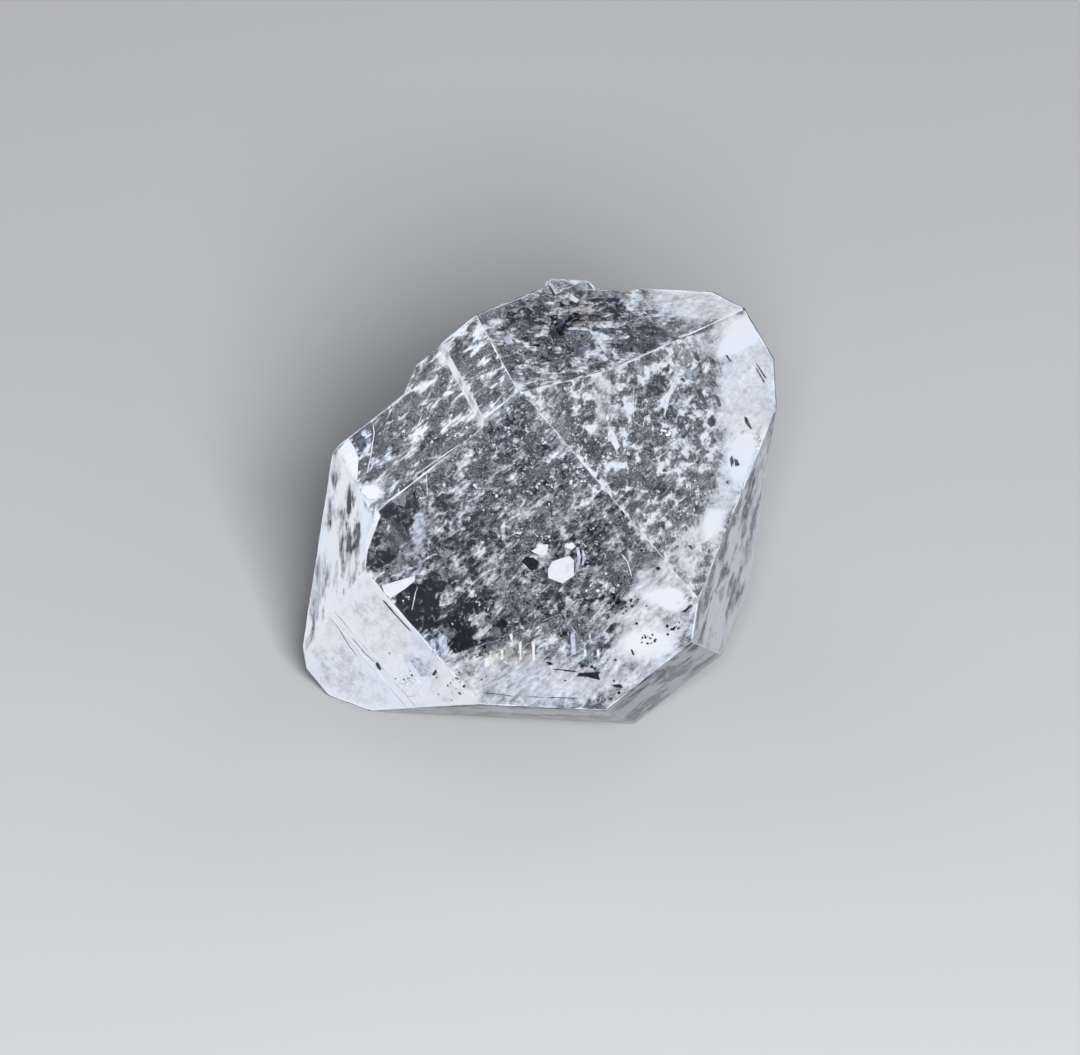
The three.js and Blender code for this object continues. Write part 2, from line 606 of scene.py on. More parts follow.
def grainy_material(name, first, second, size):
    """A dull material whose colour wanders between two over grains of this size in millimetres."""
    material = new_material(name, Roughness=0.8, Specular_IOR_Level=0.1)
    nodes = material.node_tree.nodes
    link = material.node_tree.links.new
    coordinates = nodes.new("ShaderNodeTexCoord")
    texture = nodes.new("ShaderNodeTexNoise")
    texture.inputs["Scale"].default_value = 1 / (size * MM)
    link(coordinates.outputs["Object"], texture.inputs["Vector"])
    share = add_math(material, "MULTIPLY_ADD", texture.outputs["Fac"], 3.0, -1.0, clamp=True)
    link(add_ramp(material, share, first, second), nodes["Principled BSDF"].inputs["Base Color"])
    return material


def add_veins(material):
    """Bright lines where a noise passes its middle value."""
    folds = add_noise(material, 0.75, 3.0, 0.55, 2.2).outputs["Fac"]
    away = add_math(material, "ABSOLUTE", add_sum(material, -0.5, (folds, 1.0)))
    return add_math(material, "MULTIPLY_ADD", away, -16.0, 1.0, clamp=True)


def add_crumple(material):
    """Painted light and shade of folds: a noise less the same noise a little aside."""
    lit, unlit = (add_noise(material, 0.60, 4.0, 0.70, 1.6, shift=shift) for shift in (0.0, 0.08))
    return add_math(material, "SUBTRACT", lit.outputs["Fac"], unlit.outputs["Fac"])


def add_tint(material, colour):
    """The colour times the mesh's tint."""
    tinted = material.node_tree.nodes.new("ShaderNodeVectorMath")
    tinted.operation = "MULTIPLY"
    material.node_tree.links.new(colour, tinted.inputs[0])
    material.node_tree.links.new(add_attribute(material, "tint", "Vector"), tinted.inputs[1])
    return tinted.outputs["Vector"]


def milk_material():
    """Milky quartz, with painted light and shade in its colour. The mesh says how dense it is (milk), how
    white (white), how blotchy (mottle) and of what tint (tint), and where the noise is taken from (place). A
    low whiteness and the
    dark blotches paint the milk near black: painted shade where the crystal looks dark through."""
    material = new_material("milk", Roughness=1.0, Specular_IOR_Level=0.0)
    shader = material.node_tree.nodes["Principled BSDF"]
    link = material.node_tree.links.new
    broad = add_noise(material, 2.2, 2.0, 0.5, 1.3).outputs["Fac"]
    clouds = add_noise(material, 0.85, 5.0, 0.68, 1.3).outputs["Fac"]
    blobs = add_noise(material, 0.70, 1.0, 0.5, 1.7, "ShaderNodeTexVoronoi").outputs["Distance"]
    chips = add_noise(material, 0.15, 0.0, 0.5, 1.3, "ShaderNodeTexVoronoi").outputs["Color"]
    veins = add_veins(material)
    crumple = add_crumple(material)
    # Dark blotches: partly mottled milk, partly painted shade where the crystal looks dark through.
    blotches = add_sum(material, -0.85, (blobs, 1.8))
    mottle = add_math(material, "MULTIPLY", blotches, add_attribute(material, "mottle"))
    pattern = add_sum(material, -3.0, (clouds, 3.2), (broad, 2.4), (veins, 0.4), (crumple, 1.2),
                      (chips, 0.25), (mottle, 1.0), (add_attribute(material, "milk"), 1.0))
    cover = add_math(material, "MULTIPLY_ADD", pattern, 1.6, -0.60, clamp=True)
    link(add_math(material, "MULTIPLY", cover, 0.72), shader.inputs["Alpha"])
    # How far the shade strays from the whiteness: the milk's own clouds, veins and chips, with painted light
    # and shade from the crumple and the blotches.
    change = add_sum(material, -1.34, (clouds, 1.9), (veins, 0.4), (crumple, 3.4), (chips, 0.5),
                     (mottle, 0.9))
    white = add_attribute(material, "white")
    calm = add_math(material, "MAXIMUM", add_sum(material, 1.1, (white, -1.0)), 0.2)
    shade = add_math(material, "MULTIPLY_ADD", change, calm, white, clamp=True)
    # From near black to white: the dark end is painted shade.
    colour = add_ramp(material, shade, (0.012, 0.017, 0.032, 1.0), (0.93, 0.95, 0.98, 1.0))
    link(add_tint(material, colour), shader.inputs["Base Color"])
    return material


def void_material():
    """Hollows in the quartz. Their faces look inwards, as the quartz is outside them."""
    return new_material("void", Base_Color=(1.0, 1.0, 1.0, 1.0), Roughness=0.0, IOR=QUARTZ_IOR,
                        Transmission_Weight=1.0)


# ---- Inside the crystal --------------------------------------------------------------------------

def refracted(ray, normal, ratio):
    """The way of a ray behind a surface. The ratio is of the indices before and behind it."""
    cosine = -ray.dot(normal)
    return ratio * ray + (ratio * cosine - math.sqrt(1 - ratio ** 2 * (1 - cosine ** 2))) * normal


OUTSIDE = 60  # a distance from the centre that is outside the crystal
STEP_INSIDE = 0.001


def sight_line(solid, across, up):
    """Where the view ray at a spot enters the crystal, its way inside, and the thickness on that way."""
    start = CRYSTAL_CENTRE + VIEW_RIGHT * across + VIEW_UP * up + VIEW_BACK * OUTSIDE
    entry, normal, _, _ = solid.ray_cast(start, -VIEW_BACK)
    if entry is None:
        return None
    way = refracted(-VIEW_BACK, normal, 1 / QUARTZ_IOR)
    _, _, _, thickness = solid.ray_cast(entry + STEP_INSIDE * way, way)
    return (entry, way, thickness) if thickness else None


def room_around(solid, point):
    """How far below the crystal's surface a point lies. It is negative outside."""
    spot_on, normal, _, gap = solid.find_nearest(point)
    return gap if (Vector(point) - spot_on).dot(normal) < 0 else -gap


RING = 6  # corners of a flake and sides of a thread


def flake_shapes(centres, sizes, thickness, draw, lie=None):
    """Small closed six-sided plates, as points and triangles."""
    count = len(centres)
    turn = np.arange(RING) * 2 * math.pi / RING
    radius = draw.uniform(0.6, 1.3, (count, RING))
    ring = np.stack([radius * np.cos(turn), radius * np.sin(turn), np.zeros((count, RING))], axis=2)
    tops = np.stack([draw.uniform(-0.3, 0.3, count), draw.uniform(-0.3, 0.3, count), thickness], axis=1)
    shape = np.concatenate([ring, tops[:, None], -tops[:, None]], axis=1) * sizes[:, None, None]
    normals = unit(draw.normal(size=(count, 3)) if lie is None else lie)
    side = unit(np.cross(normals, draw.normal(size=(count, 3))))
    axes = np.stack([side, np.cross(normals, side), normals], axis=1)
    points = centres[:, None] + shape @ axes
    upper = [(k, (k + 1) % RING, RING) for k in range(RING)]
    lower = [(b, a, RING + 1) for a, b, _ in upper]
    faces = np.array(upper + lower) + (RING + 2) * np.arange(count)[:, None, None]
    return points.reshape(-1, 3), faces.reshape(-1, 3)


ROOM = 0.3  # between a cloud and the crystal's faces


def cloud_points(solid, count, spots, depths, draw, nearest=ROOM):
    """Random points in the crystal whose spread, as seen from the front, is a sum of soft round spots."""
    found = []
    weights = np.array([spot[4] for spot in spots], float)
    while len(found) < count:
        across, up, wide, high, _ = spots[draw.choice(len(spots), p=weights / weights.sum())]
        line = sight_line(solid, draw.normal(across, wide), draw.normal(up, high))
        share = draw.uniform(*depths)
        if line is None:
            continue
        entry, way, thickness = line
        depth = share * thickness
        if depth < nearest or thickness - depth < ROOM:
            continue
        found.append(entry + depth * way)
    return np.array(found)


# Soft spots of the cloud: place across and up from the centre, half width, half height, and weight.
CLOUD = [
    (0.5, -0.6, 3.6, 4.0, 1.0),
    (1.5, 3.5, 4.0, 2.5, 0.45),
    (-4.0, 2.5, 2.5, 2.0, 0.25),
    (5.5, 2.0, 2.2, 3.2, 0.35),
]


VOID_COUNT = 12000
CRACK_COUNT = 220


def make_voids(solid, material):
    draw = np.random.default_rng(11)
    centres = cloud_points(solid, VOID_COUNT, CLOUD, (0.06, 0.8), draw)
    sizes = np.clip(0.075 * np.exp(0.5 * draw.normal(size=len(centres))), 0.03, 0.3)
    points, faces = flake_shapes(centres, sizes, draw.uniform(0.06, 0.22, len(centres)), draw)
    return add_piece("voids", points, faces[:, ::-1].tolist(), material)


# Healed cracks: thin wavy sheets of void.
SHEET_RINGS = 5
SHEET_SPOKES = 14
SHEET_HALF = 0.006  # half thickness of a sheet's middle


def sheet_faces():
    """The triangles of a closed sheet: its top, its bottom and the band round its rim."""
    middle = SHEET_RINGS * SHEET_SPOKES
    last_ring = middle - SHEET_SPOKES
    top, band = [], []
    for k in range(SHEET_SPOKES):
        after = (k + 1) % SHEET_SPOKES
        top.append((middle, k, after))
        for inner in range(0, last_ring, SHEET_SPOKES):
            top.extend(two_triangles(inner + k, inner + after, SHEET_SPOKES))
        band.extend(two_triangles(last_ring + k, last_ring + after, middle + 1))
    top = np.array(top)
    return np.concatenate([top, top[:, ::-1] + middle + 1, band])


def sheet_points(centre, normal, radius, stretch, noise, draw):
    """The points of one thin wavy sheet with an uneven outline: rings and a middle, above and below."""
    side = unit(np.cross(normal, draw.normal(size=3)))
    other = np.cross(normal, side)
    turn = np.arange(SHEET_SPOKES) * 2 * math.pi / SHEET_SPOKES
    outline = draw.uniform(0.65, 1.1, SHEET_SPOKES)
    shares = (np.arange(SHEET_RINGS) + 1) / SHEET_RINGS
    reach = radius * shares[:, None] * outline
    x = np.append(reach * np.cos(turn) * stretch, 0.0)
    y = np.append(reach * np.sin(turn), 0.0)
    place = centre + x[:, None] * side + y[:, None] * other
    wave = 0.05 * radius * noise(place / (0.9 * radius)) + 0.002 * noise(place / 0.22)
    half = SHEET_HALF * np.append(np.repeat(1 - 0.75 * shares ** 2, SHEET_SPOKES), 1.0)
    top = place + (wave + half)[:, None] * normal
    bottom = place + (wave - half)[:, None] * normal
    return np.concatenate([top, bottom])


# Soft spots of the healed cracks, as in CLOUD.
SHEETS = [
    (0.5, -0.6, 3.6, 4.0, 1.0),
    (3.5, 3.0, 4.0, 3.0, 1.0),
    (-4.0, 2.5, 2.5, 2.0, 0.4),
]


def make_sheets(solid, material):
    draw = np.random.default_rng(21)
    noise = Noise(22)
    inward_faces = sheet_faces()[:, ::-1].tolist()
    shapes = []
    for centre in cloud_points(solid, CRACK_COUNT, SHEETS, (0.15, 0.8), draw):
        stretch = draw.uniform(0.8, 2.0)
        room = solid.find_nearest(centre)[3]
        radius = min(0.7 * room / stretch, 1.6, 0.5 * math.exp(0.55 * draw.normal()))
        normal = unit(draw.normal(size=3))
        shapes.append((sheet_points(centre, normal, radius, stretch, noise, draw), inward_faces))
    return add_piece("healed_cracks", *joined(shapes), material)


FROST = CLOUD[:2]
FROST_CLUMPS = 420
CLUMP_GRAINS = 11


def make_frost(solid, material):
    """White grains in clumps just below the surface, partly painted glints: the white grains stand in for
    pin-point sparkle.
    """
    draw = np.random.default_rng(12)
    clumps = cloud_points(solid, FROST_CLUMPS, FROST, (0.0, 0.12), draw, 0.1)
    spreads = 0.16 * unit(draw.normal(size=(len(clumps), 3))) * draw.uniform(0.3, 1.6, (len(clumps), 1))
    reach = draw.normal(size=(len(clumps), CLUMP_GRAINS, 1))
    scatter = 0.05 * draw.normal(size=(len(clumps), CLUMP_GRAINS, 3))
    centres = clumps[:, None] + reach * spreads[:, None] + scatter
    centres = centres.reshape(-1, 3)
    sizes = np.clip(0.024 * np.exp(0.6 * draw.normal(size=len(centres))), 0.01, 0.12)
    clear = [room_around(solid, centre) > 0.06 + size for centre, size in zip(centres.tolist(), sizes)]
    centres, sizes = centres[clear], sizes[clear]
    points, faces = flake_shapes(centres, sizes, draw.uniform(0.15, 0.6, len(centres)), draw)
    return add_piece("frost", points, faces.tolist(), material)


# ---- Milky quartz --------------------------------------------------------------------------------

SEEN_DEPTH = 0.07
HIDDEN_DEPTH = 0.12  # the hidden faces have higher hills
RIM_WIDTH = 0.16
CLEARING = 1.5  # how much more a spot counts that takes milk away
FEWEST_POINTS = 60  # a face with fewer points has no milk
# Half thicknesses of the sheets, veils and plates.
MILK_HALF = 0.008
VEIL_HALF = 0.01
PLATE_HALF = 0.012

# How dense, white and blotchy the milk below a face is, and how much denser it is at the edges, where it is
# also whiter. A low whiteness and the blotches paint the milk dark: painted shade where the crystal looks
# dark through. The whiter edges are partly a painted highlight.
FACE_MILK = {
    "foot_frontHigh": (1.7, 0.90, 0.6, 0.3),
    "foot_top": (0.9, 0.24, 1.4, 0.7),
    "prism_top": (-0.08, 0.07, 0.7, 0.45),
    "worn": (0.10, 0.10, 0.6, 0.4),
    "head_top": (0.18, 0.15, 0.6, 0.5),
    "head_frontHigh": (-0.06, 0.04, 0.9, 0.25),
    "prism_frontHigh": (0.18, 0.17, 0.3, 0.3),
    "head_frontLow": (0.55, 0.22, 1.2, 0.8),
    "prism_frontLow": (0.50, 0.20, 1.3, 0.8),
    "foot_frontLow": (0.80, 0.26, 1.3, 0.8),
}
HIDDEN_MILK = (-0.10, 0.62, 0.5, 0.6)
# Painted shade: the inner walls of the hidden faces' milk are painted dark.
INNER_SHADE = 0.0  # the side that faces the middle of the crystal is in the dark
# How much coarser the milk is on the faces that are seen at a slant.
COARSE = {"head_frontLow": 1.7, "prism_frontLow": 1.6, "foot_frontLow": 1.8, "foot_top": 1.6}
# Tints of the milk: place across and up as seen, half width, half height, turn, and colour factors.
TINTS = [
    (1.9, 8.3, 1.5, 0.8, 0, (0.72, 0.64, 0.58)),
    (3.4, 9.3, 1.0, 0.35, 0, (1.0, 0.90, 0.66)),
    (-1.4, -6.8, 1.6, 1.0, 0, (1.03, 0.97, 0.88)),
    (2.0, -6.7, 1.1, 1.0, 0, (0.88, 0.96, 1.0)),
    (-1.5, -2.6, 3.4, 2.4, 0, (1.02, 0.97, 0.93)),
    (1.4, -4.8, 2.8, 1.6, 0, (1.03, 0.96, 0.91)),
    (0.0, 0.9, 1.0, 1.4, 0, (1.03, 0.95, 0.89)),
    (-6.2, -1.5, 1.6, 3.8, 0, (0.90, 0.95, 1.02)),
    (-5.0, -6.6, 1.4, 1.2, 0, (0.90, 0.94, 1.02)),
    (5.5, 3.5, 2.4, 3.4, 0, (0.92, 0.97, 1.01)),
    (-7.4, 2.4, 1.2, 1.8, 0, (0.90, 0.95, 1.02)),
]
# On these faces the streaks run along the picture's upright. On the others they run along the c axis.
UPRIGHT = ("foot_top", "head_frontLow")
UPRIGHT_WAY = unit(UP + 0.14 * RIGHT)

# Soft spots that change the milk below a face: place across and up as seen, half width, half height,
# turn, and what the spot adds to the milk and to its whiteness. A negative whiteness paints the milk darker:
# painted shade where the crystal looks dark through.
SPOTS = {
    "prism_frontHigh": [
        (-6.3, -0.2, 1.0, 1.6, -10, -0.85, -0.1),
        (-7.1, -2.4, 1.0, 1.1, 0, -0.85, -0.1),
        (-5.6, -4.9, 1.3, 1.2, -30, -0.80, -0.1),
        (-4.6, -3.6, 0.8, 0.7, 0, -0.40, 0.0),
        (-3.7, -5.9, 0.8, 1.1, 10, -0.50, 0.0),
        (-5.4, -1.4, 0.4, 2.2, -4, 0.45, 0.3),
        (-3.6, -1.4, 0.8, 0.6, 0, 0.20, 0.2),
        (-0.7, 3.4, 1.3, 0.8, 0, -0.40, 0.0),
        (-0.2, 0.8, 0.8, 1.0, 0, -0.30, 0.0),
        (-0.6, -5.0, 1.2, 0.7, 0, -0.25, 0.0),
        (3.0, -3.9, 1.8, 0.9, -15, -0.30, 0.0),
        (2.6, -2.4, 1.0, 0.8, 0, -0.20, -0.2),
        (4.2, -1.9, 0.45, 1.3, 40, -0.55, 0.0),
        (5.4, -3.6, 1.6, 1.3, 20, 1.0, 0.50),
        (5.0, -5.6, 2.4, 1.9, 20, 1.0, 0.50),
        (4.4, -7.2, 2.4, 1.5, 40, 1.2, 0.45),
        (-1.4, -8.1, 5.6, 1.5, 0, 1.1, 0.48),
        (1.5, -8.6, 2.5, 0.9, 0, 0.60, 0.15),
        (6.0, -4.5, 0.8, 0.6, 0, 0.30, 0.5),
    ],
    "head_frontHigh": [
        (9.3, 4.6, 1.9, 4.6, 0, 1.4, 0.80),
        (8.3, 7.3, 2.4, 1.0, 25, 1.2, 0.62),
        (8.4, 0.6, 0.8, 3.0, -22, 1.4, 0.70),
        (7.2, -2.2, 1.5, 2.2, -22, 1.0, 0.68),
        (5.2, 4.5, 1.4, 0.9, 20, -0.30, -0.25),
        (6.0, 2.6, 1.6, 1.6, 0, 0.0, -0.12),
        (1.8, 3.0, 1.6, 1.8, 0, -0.1, 0.15),
        (5.8, 6.3, 1.0, 0.8, 20, 0.0, -0.35),
        (6.7, 4.0, 0.9, 1.4, 0, 0.0, -0.25),
        (6.1, 0.8, 0.9, 0.7, -20, 0.0, -0.45),
        (7.3, 0.5, 0.7, 0.5, 0, 0.0, -0.45),
        (1.4, 3.2, 1.0, 0.7, -30, -0.30, 0.0),
        (3.0, 4.2, 0.7, 2.0, 8, 0.50, 0.55),
        (6.9, 1.2, 0.5, 0.35, 20, 0.60, 0.6),
        (7.6, 1.5, 0.8, 0.5, 0, 0.40, 0.4),
        (0.6, 3.9, 0.6, 0.9, 20, 0.30, 0.2),
    ],
    "head_top": [
        (7.0, 8.9, 2.9, 1.1, -5, 1.3, 0.62),
        (6.4, 7.9, 1.2, 0.6, 0, 0.35, 0.2),
        (4.6, 7.5, 1.0, 0.9, 20, -0.50, 0.0),
        (1.9, 6.3, 1.0, 0.5, 0, 0.40, 0.5),
        (1.9, 8.3, 1.2, 0.6, 0, 0.2, -0.22),
    ],
    "worn": [
        (-0.7, 8.3, 1.3, 0.8, 10, -0.40, 0.0),
        (0.7, 7.6, 0.5, 0.6, 0, -0.30, 0.0),
        (-1.2, 6.4, 0.4, 0.5, 40, 0.50, 0.5),
        (-1.6, 7.1, 0.5, 0.5, -30, 0.35, 0.2),
        (1.8, 6.3, 1.2, 0.6, 0, 0.45, 0.6),
        (-2.2, 7.6, 0.6, 0.7, 0, 0.30, 0.3),
        (-1.6, 5.7, 0.8, 0.7, 0, 0.15, -0.2),
        (1.9, 8.3, 1.2, 0.6, 0, 0.2, -0.22),
    ],
    "prism_top": [
        (-4.7, 2.5, 0.8, 0.6, 20, -0.45, 0.0),
        (-8.1, 2.6, 0.4, 0.6, 0, 0.0, -0.45),
        (-7.3, 2.7, 0.3, 1.3, 8, 0.0, -0.45),
        (-3.4, 6.7, 0.5, 0.8, 0, 0.0, -0.35),
        (-4.2, 6.4, 0.5, 0.9, -10, 0.30, 0.4),
        (-6.4, 3.4, 0.4, 1.6, -25, 0.35, 0.4),
        (-6.0, 1.8, 1.6, 0.7, 30, 0.25, 0.2),
        (-7.5, 0.4, 0.8, 0.5, 30, 0.60, 0.6),
        (-3.8, 4.5, 0.8, 0.6, 0, -0.15, 0.0),
    ],
    "foot_top": [
        (-8.8, 1.7, 0.7, 0.9, -60, 0.40, 0.5),
        (-9.2, -2.6, 0.30, 1.6, 0, 0.30, 0.35),
        (-7.7, -1.6, 0.25, 1.6, -18, 0.40, 0.35),
        (-9.9, -3.0, 0.30, 3.0, -6, 0.30, 0.35),
        (-8.5, -1.0, 0.30, 1.6, 0, 0.0, -0.5),
        (-8.9, -4.3, 0.25, 1.2, -10, 0.0, -0.4),
        (-8.1, -3.2, 0.18, 1.2, -15, 0.0, -0.4),
        (-9.5, -1.6, 0.15, 1.4, -5, 0.0, -0.3),
    ],
    "head_frontLow": [
        (9.7, -2.0, 0.35, 4.5, -8, 0.50, 0.6),
        (8.9, -5.2, 0.5, 2.2, -25, 0.50, 0.6),
        (8.4, -3.3, 0.35, 1.0, -12, -0.3, -0.3),
        (9.3, 0.6, 0.3, 1.4, -12, 0.0, -0.3),
        (7.5, -5.2, 0.5, 1.4, -10, 0.0, -0.15),
    ],
    "prism_frontLow": [
        (5.6, -7.4, 2.4, 0.35, 39, 0.0, -0.35),
        (7.2, -6.7, 0.5, 0.3, 0, 0.0, -0.3),
        (6.5, -8.2, 2.4, 0.3, 39, 0.40, 0.5),
        (3.9, -9.4, 0.9, 0.4, 20, 0.30, 0.4),
    ],
    "foot_frontLow": [
        (-6.0, -9.4, 3.0, 0.25, 0, 0.3, 0.5),
        (-3.4, -9.25, 1.6, 0.12, 0, 0.0, -0.4),
        (1.6, -9.6, 2.0, 0.2, 0, 0.0, -0.2),
    ],
    "foot_frontHigh": [
        (-5.9, -8.2, 0.8, 1.1, 40, 0.40, 0.6),
        (-5.3, -7.4, 0.4, 0.8, 40, -0.45, -0.2),
        (-9.0, -7.6, 1.4, 1.2, 0, 0.0, -0.12),
        (-7.6, -5.0, 1.2, 0.9, 0, 0.0, -0.1),
    ],
}


def closed_sheet(points, faces, normal, half):
    """Gives an open sheet a thickness, with a rim that closes it."""
    count = len(points)
    both = np.concatenate([points + half * normal, points - half * normal])
    rim = [(a, a + count, b + count, b) for a, b in open_edges(faces.tolist())]
    return both, faces.tolist() + (faces[:, ::-1] + count).tolist() + rim


def as_seen(points):
    """Across and up coordinates in the picture, from the crystal's centre."""
    offset = points - CENTRE
    return offset @ RIGHT, offset @ UP


def along_streaks(points, way):
    """The points' coordinates on axes of which the last is the streaks' way."""
    side = unit(np.cross(way, (0.3, 0.5, 0.8)))
    return np.stack([points @ side, points @ np.cross(way, side), points @ way], axis=1)


def spot_share(across, up, spot):
    """How strong a soft spot is at the points: 1 in its middle and 0 outside it."""
    x, y = across - spot[0], up - spot[1]
    turn = math.radians(spot[4])
    along = (x * math.cos(turn) + y * math.sin(turn)) / spot[2]
    aside = (y * math.cos(turn) - x * math.sin(turn)) / spot[3]
    return ramp(1 - along ** 2 - aside ** 2, 0.0, 0.8)


def set_milk(piece, points, way, milk, white, mottle, tint=(1.0, 1.0, 1.0)):
    """Gives a piece the point values of the milk material. A single value goes for all points."""
    count = len(points)
    attributes = piece.data.attributes
    for key, value in (("milk", milk), ("white", white), ("mottle", mottle)):
        values = np.broadcast_to(value, count).astype(float)
        attributes.new(key, "FLOAT", "POINT").data.foreach_set("value", values)
    for key, value in (("place", along_streaks(points, way)), ("tint", np.broadcast_to(tint, (count, 3)))):
        values = value.astype(float).ravel()
        attributes.new(key, "FLOAT_VECTOR", "POINT").data.foreach_set("vector", values)


def edge_share(facet, corners, points):
    """How near the points are to the face's edges: 1 on an edge, and fading out over RIM_WIDTH."""
    starts, ends = (facet.flat(corners[list(numbers)]) for numbers in zip(*facet.outline))
    return np.exp(-(distance_to_edges(facet.flat(points), starts, ends) / RIM_WIDTH) ** 2)


def add_spots(facet, points, milk, white, mottle, tint):
    """Changes the point values of a seen face in soft spots."""
    across, up = as_seen(points)
    for spot in SPOTS.get(facet.name, ()):
        share = spot_share(across, up, spot)
        milk += share * spot[5] * (1.0 if spot[5] > 0 else CLEARING)
        # A negative whiteness here is painted shade.
        white += share * spot[6]
        mottle *= 1 - share * min(1.0, max(0.0, spot[5]))
    for spot in TINTS:
        tint *= 1 + spot_share(across, up, spot)[:, None] * (np.array(spot[5]) - 1)


def make_milky_faces(skin, facets, material):
    """A sheet of milk below each face but the one that the crystal lies on."""
    base = np.concatenate(skin.points)
    inward = np.concatenate(skin.inward)
    patches = Noise(41)
    hues = Noise(42)
    for number, facet in enumerate(facets):
        used, faces = np.unique(np.array(facet.faces), return_inverse=True)
        if facet.name == "foot_under" or len(used) < FEWEST_POINTS:
            continue
        seen = facet.normal @ BACK > 0
        points = base[used] + (SEEN_DEPTH if seen else HIDDEN_DEPTH) * inward[used]
        levels = FACE_MILK.get(facet.name, HIDDEN_MILK) if seen else HIDDEN_MILK
        milk, white, mottle = (np.full(len(points), level) for level in levels[:3])
        # Along the edges the milk is denser and whiter: partly denser milk, partly a painted highlight along
        # the edges.
        rim = levels[3] * edge_share(facet, skin.points[0], base[used]) * (1 + patches(points / 0.9))
        milk += rim
        white += 0.6 * rim
        tint = 1 + np.outer(hues(points / 1.6), (0.05, 0.0, -0.05))
        if seen:
            add_spots(facet, points, milk, white, mottle, tint)
        way = UPRIGHT_WAY if facet.name in UPRIGHT else C_AXIS
        sheet, faces = closed_sheet(points, faces.reshape(-1, 3), facet.normal, MILK_HALF)
        # On hidden faces the inner wall is painted dark: painted shade.
        inner_white_and_shade = white if seen else np.full(len(points), INNER_SHADE)
        piece = add_piece(f"milk_{number}", sheet, faces, material)
        place = sheet / COARSE.get(facet.name, 1.0) + 9 * number
        set_milk(piece, place, way, np.tile(milk, 2), np.append(white, inner_white_and_shade), np.tile(mottle, 2),
                 np.tile(tint, (2, 1)))
        yield piece


# Milky veils deep inside, painted dark as shade: place across and up as seen, half width, half height, turn,
# depth, and density.
VEILS = [
    (0.0, -1.5, 6.0, 5.0, -45, 2.5, 0.50),
    (0.5, 4.2, 5.5, 3.5, 20, 2.0, 0.45),
    (2.5, 0.5, 4.5, 4.5, -45, 4.0, 0.55),
]
VEIL_GRID = 0.16


def veil_axes(way, turn):
    """The normal, the long and the short way of a veil that lies across the sight line in the crystal."""
    normal = -np.array(way)
    right = unit(RIGHT - (RIGHT @ normal) * normal)
    above = np.cross(normal, right)
    angle = math.radians(turn)
    long_way = math.cos(angle) * right + math.sin(angle) * above
    return normal, long_way, np.cross(normal, long_way)


def squares(rows, columns, is_used):
    """The squares of a grid of points, row by row, whose four points are all used."""
    stride = columns + 1
    firsts = (row * stride + column for row in range(rows) for column in range(columns))
    found = ((a, a + 1, a + 1 + stride, a + stride) for a in firsts)
    return np.array([square for square in found if all(is_used[k] for k in square)])


def veil_shape(solid, spot, noise):
    """A wavy sheet across the view, as points, faces and the density of its milk."""
    across, up, wide, high, turn, depth, milk = spot
    entry, way, _ = sight_line(solid, across, up)
    normal, long_way, short_way = veil_axes(way, turn)
    columns = int(wide / VEIL_GRID)
    rows = int(high / VEIL_GRID)
    i, j = np.meshgrid(np.arange(-columns, columns + 1), np.arange(-rows, rows + 1))
    x, y = i.ravel() * VEIL_GRID, j.ravel() * VEIL_GRID
    flat = np.array(entry + depth * way) + x[:, None] * long_way + y[:, None] * short_way
    points = flat + (0.25 * noise(flat / 2.5) + 0.05 * noise(flat / 0.7))[:, None] * normal
    clear = np.array([room_around(solid, point) for point in points.tolist()])
    round_off = np.clip(1 - (x / wide) ** 2 - (y / high) ** 2, 0, 1)
    density = milk * ramp(round_off, 0.0, 0.7) * ramp(clear, 0.1, 0.35)
    kept, renumbered = np.unique(squares(2 * rows, 2 * columns, density > 0.0), return_inverse=True)
    points, faces = closed_sheet(points[kept], renumbered.reshape(-1, 4), normal, VEIL_HALF)
    return points, faces, np.tile(density[kept], 2)


def make_veils(solid, material):
    noise = Noise(31)
    for number, spot in enumerate(VEILS):
        points, faces, density = veil_shape(solid, spot, noise)
        piece = add_piece(f"veil_{number + 1}", points, faces, material)
        # Painted shade: a whiteness of 0.08 paints the veils dark, as if little light reached so deep.
        set_milk(piece, points + 50 + 9 * number, C_AXIS, density, 0.08, 0.0)
        yield piece


# ---- Details as seen -----------------------------------------------------------------------------

def seen_at(solid, across, up, depth):
    """The point this deep inside the crystal that the camera sees at a place of the picture."""
    line = sight_line(solid, across, up)
    if line is None:
        raise ValueError(f"the crystal isn't seen at {across}, {up}")
    entry, way, _ = line
    return np.array(entry + depth * way), np.array(way)


# How dense a plate's milk is in the middle, on two inner rings and on its outline.
CRISP = (3.0, 3.0, 2.2, 1.4)
SOFT = (1.2, 0.9, 0.45, -0.2)
CRISP_PLATES = ("flash_large", "flash_small", "bar", "corner_upper", "left_band", "crest_spot")
PLATE_TINTS = {
    "stripe_1": (1.0, 0.96, 0.88),
    "stripe_2": (1.0, 0.97, 0.90),
    "stripe_3": (1.0, 0.95, 0.86),
    "stripe_8": (0.88, 0.97, 1.0),
}


PLATE_DEPTH = 0.05
THREAD_DEPTH = 0.045
THREAD_STEP = 0.15
GRAIN_DEPTH = 0.04
EDGE_DEPTH = 0.05
# An edge gets a white thread, partly bruise and partly painted highlight, only if it has this many points.
FEWEST_ON_EDGE = 6  # an edge with fewer points isn't bruised


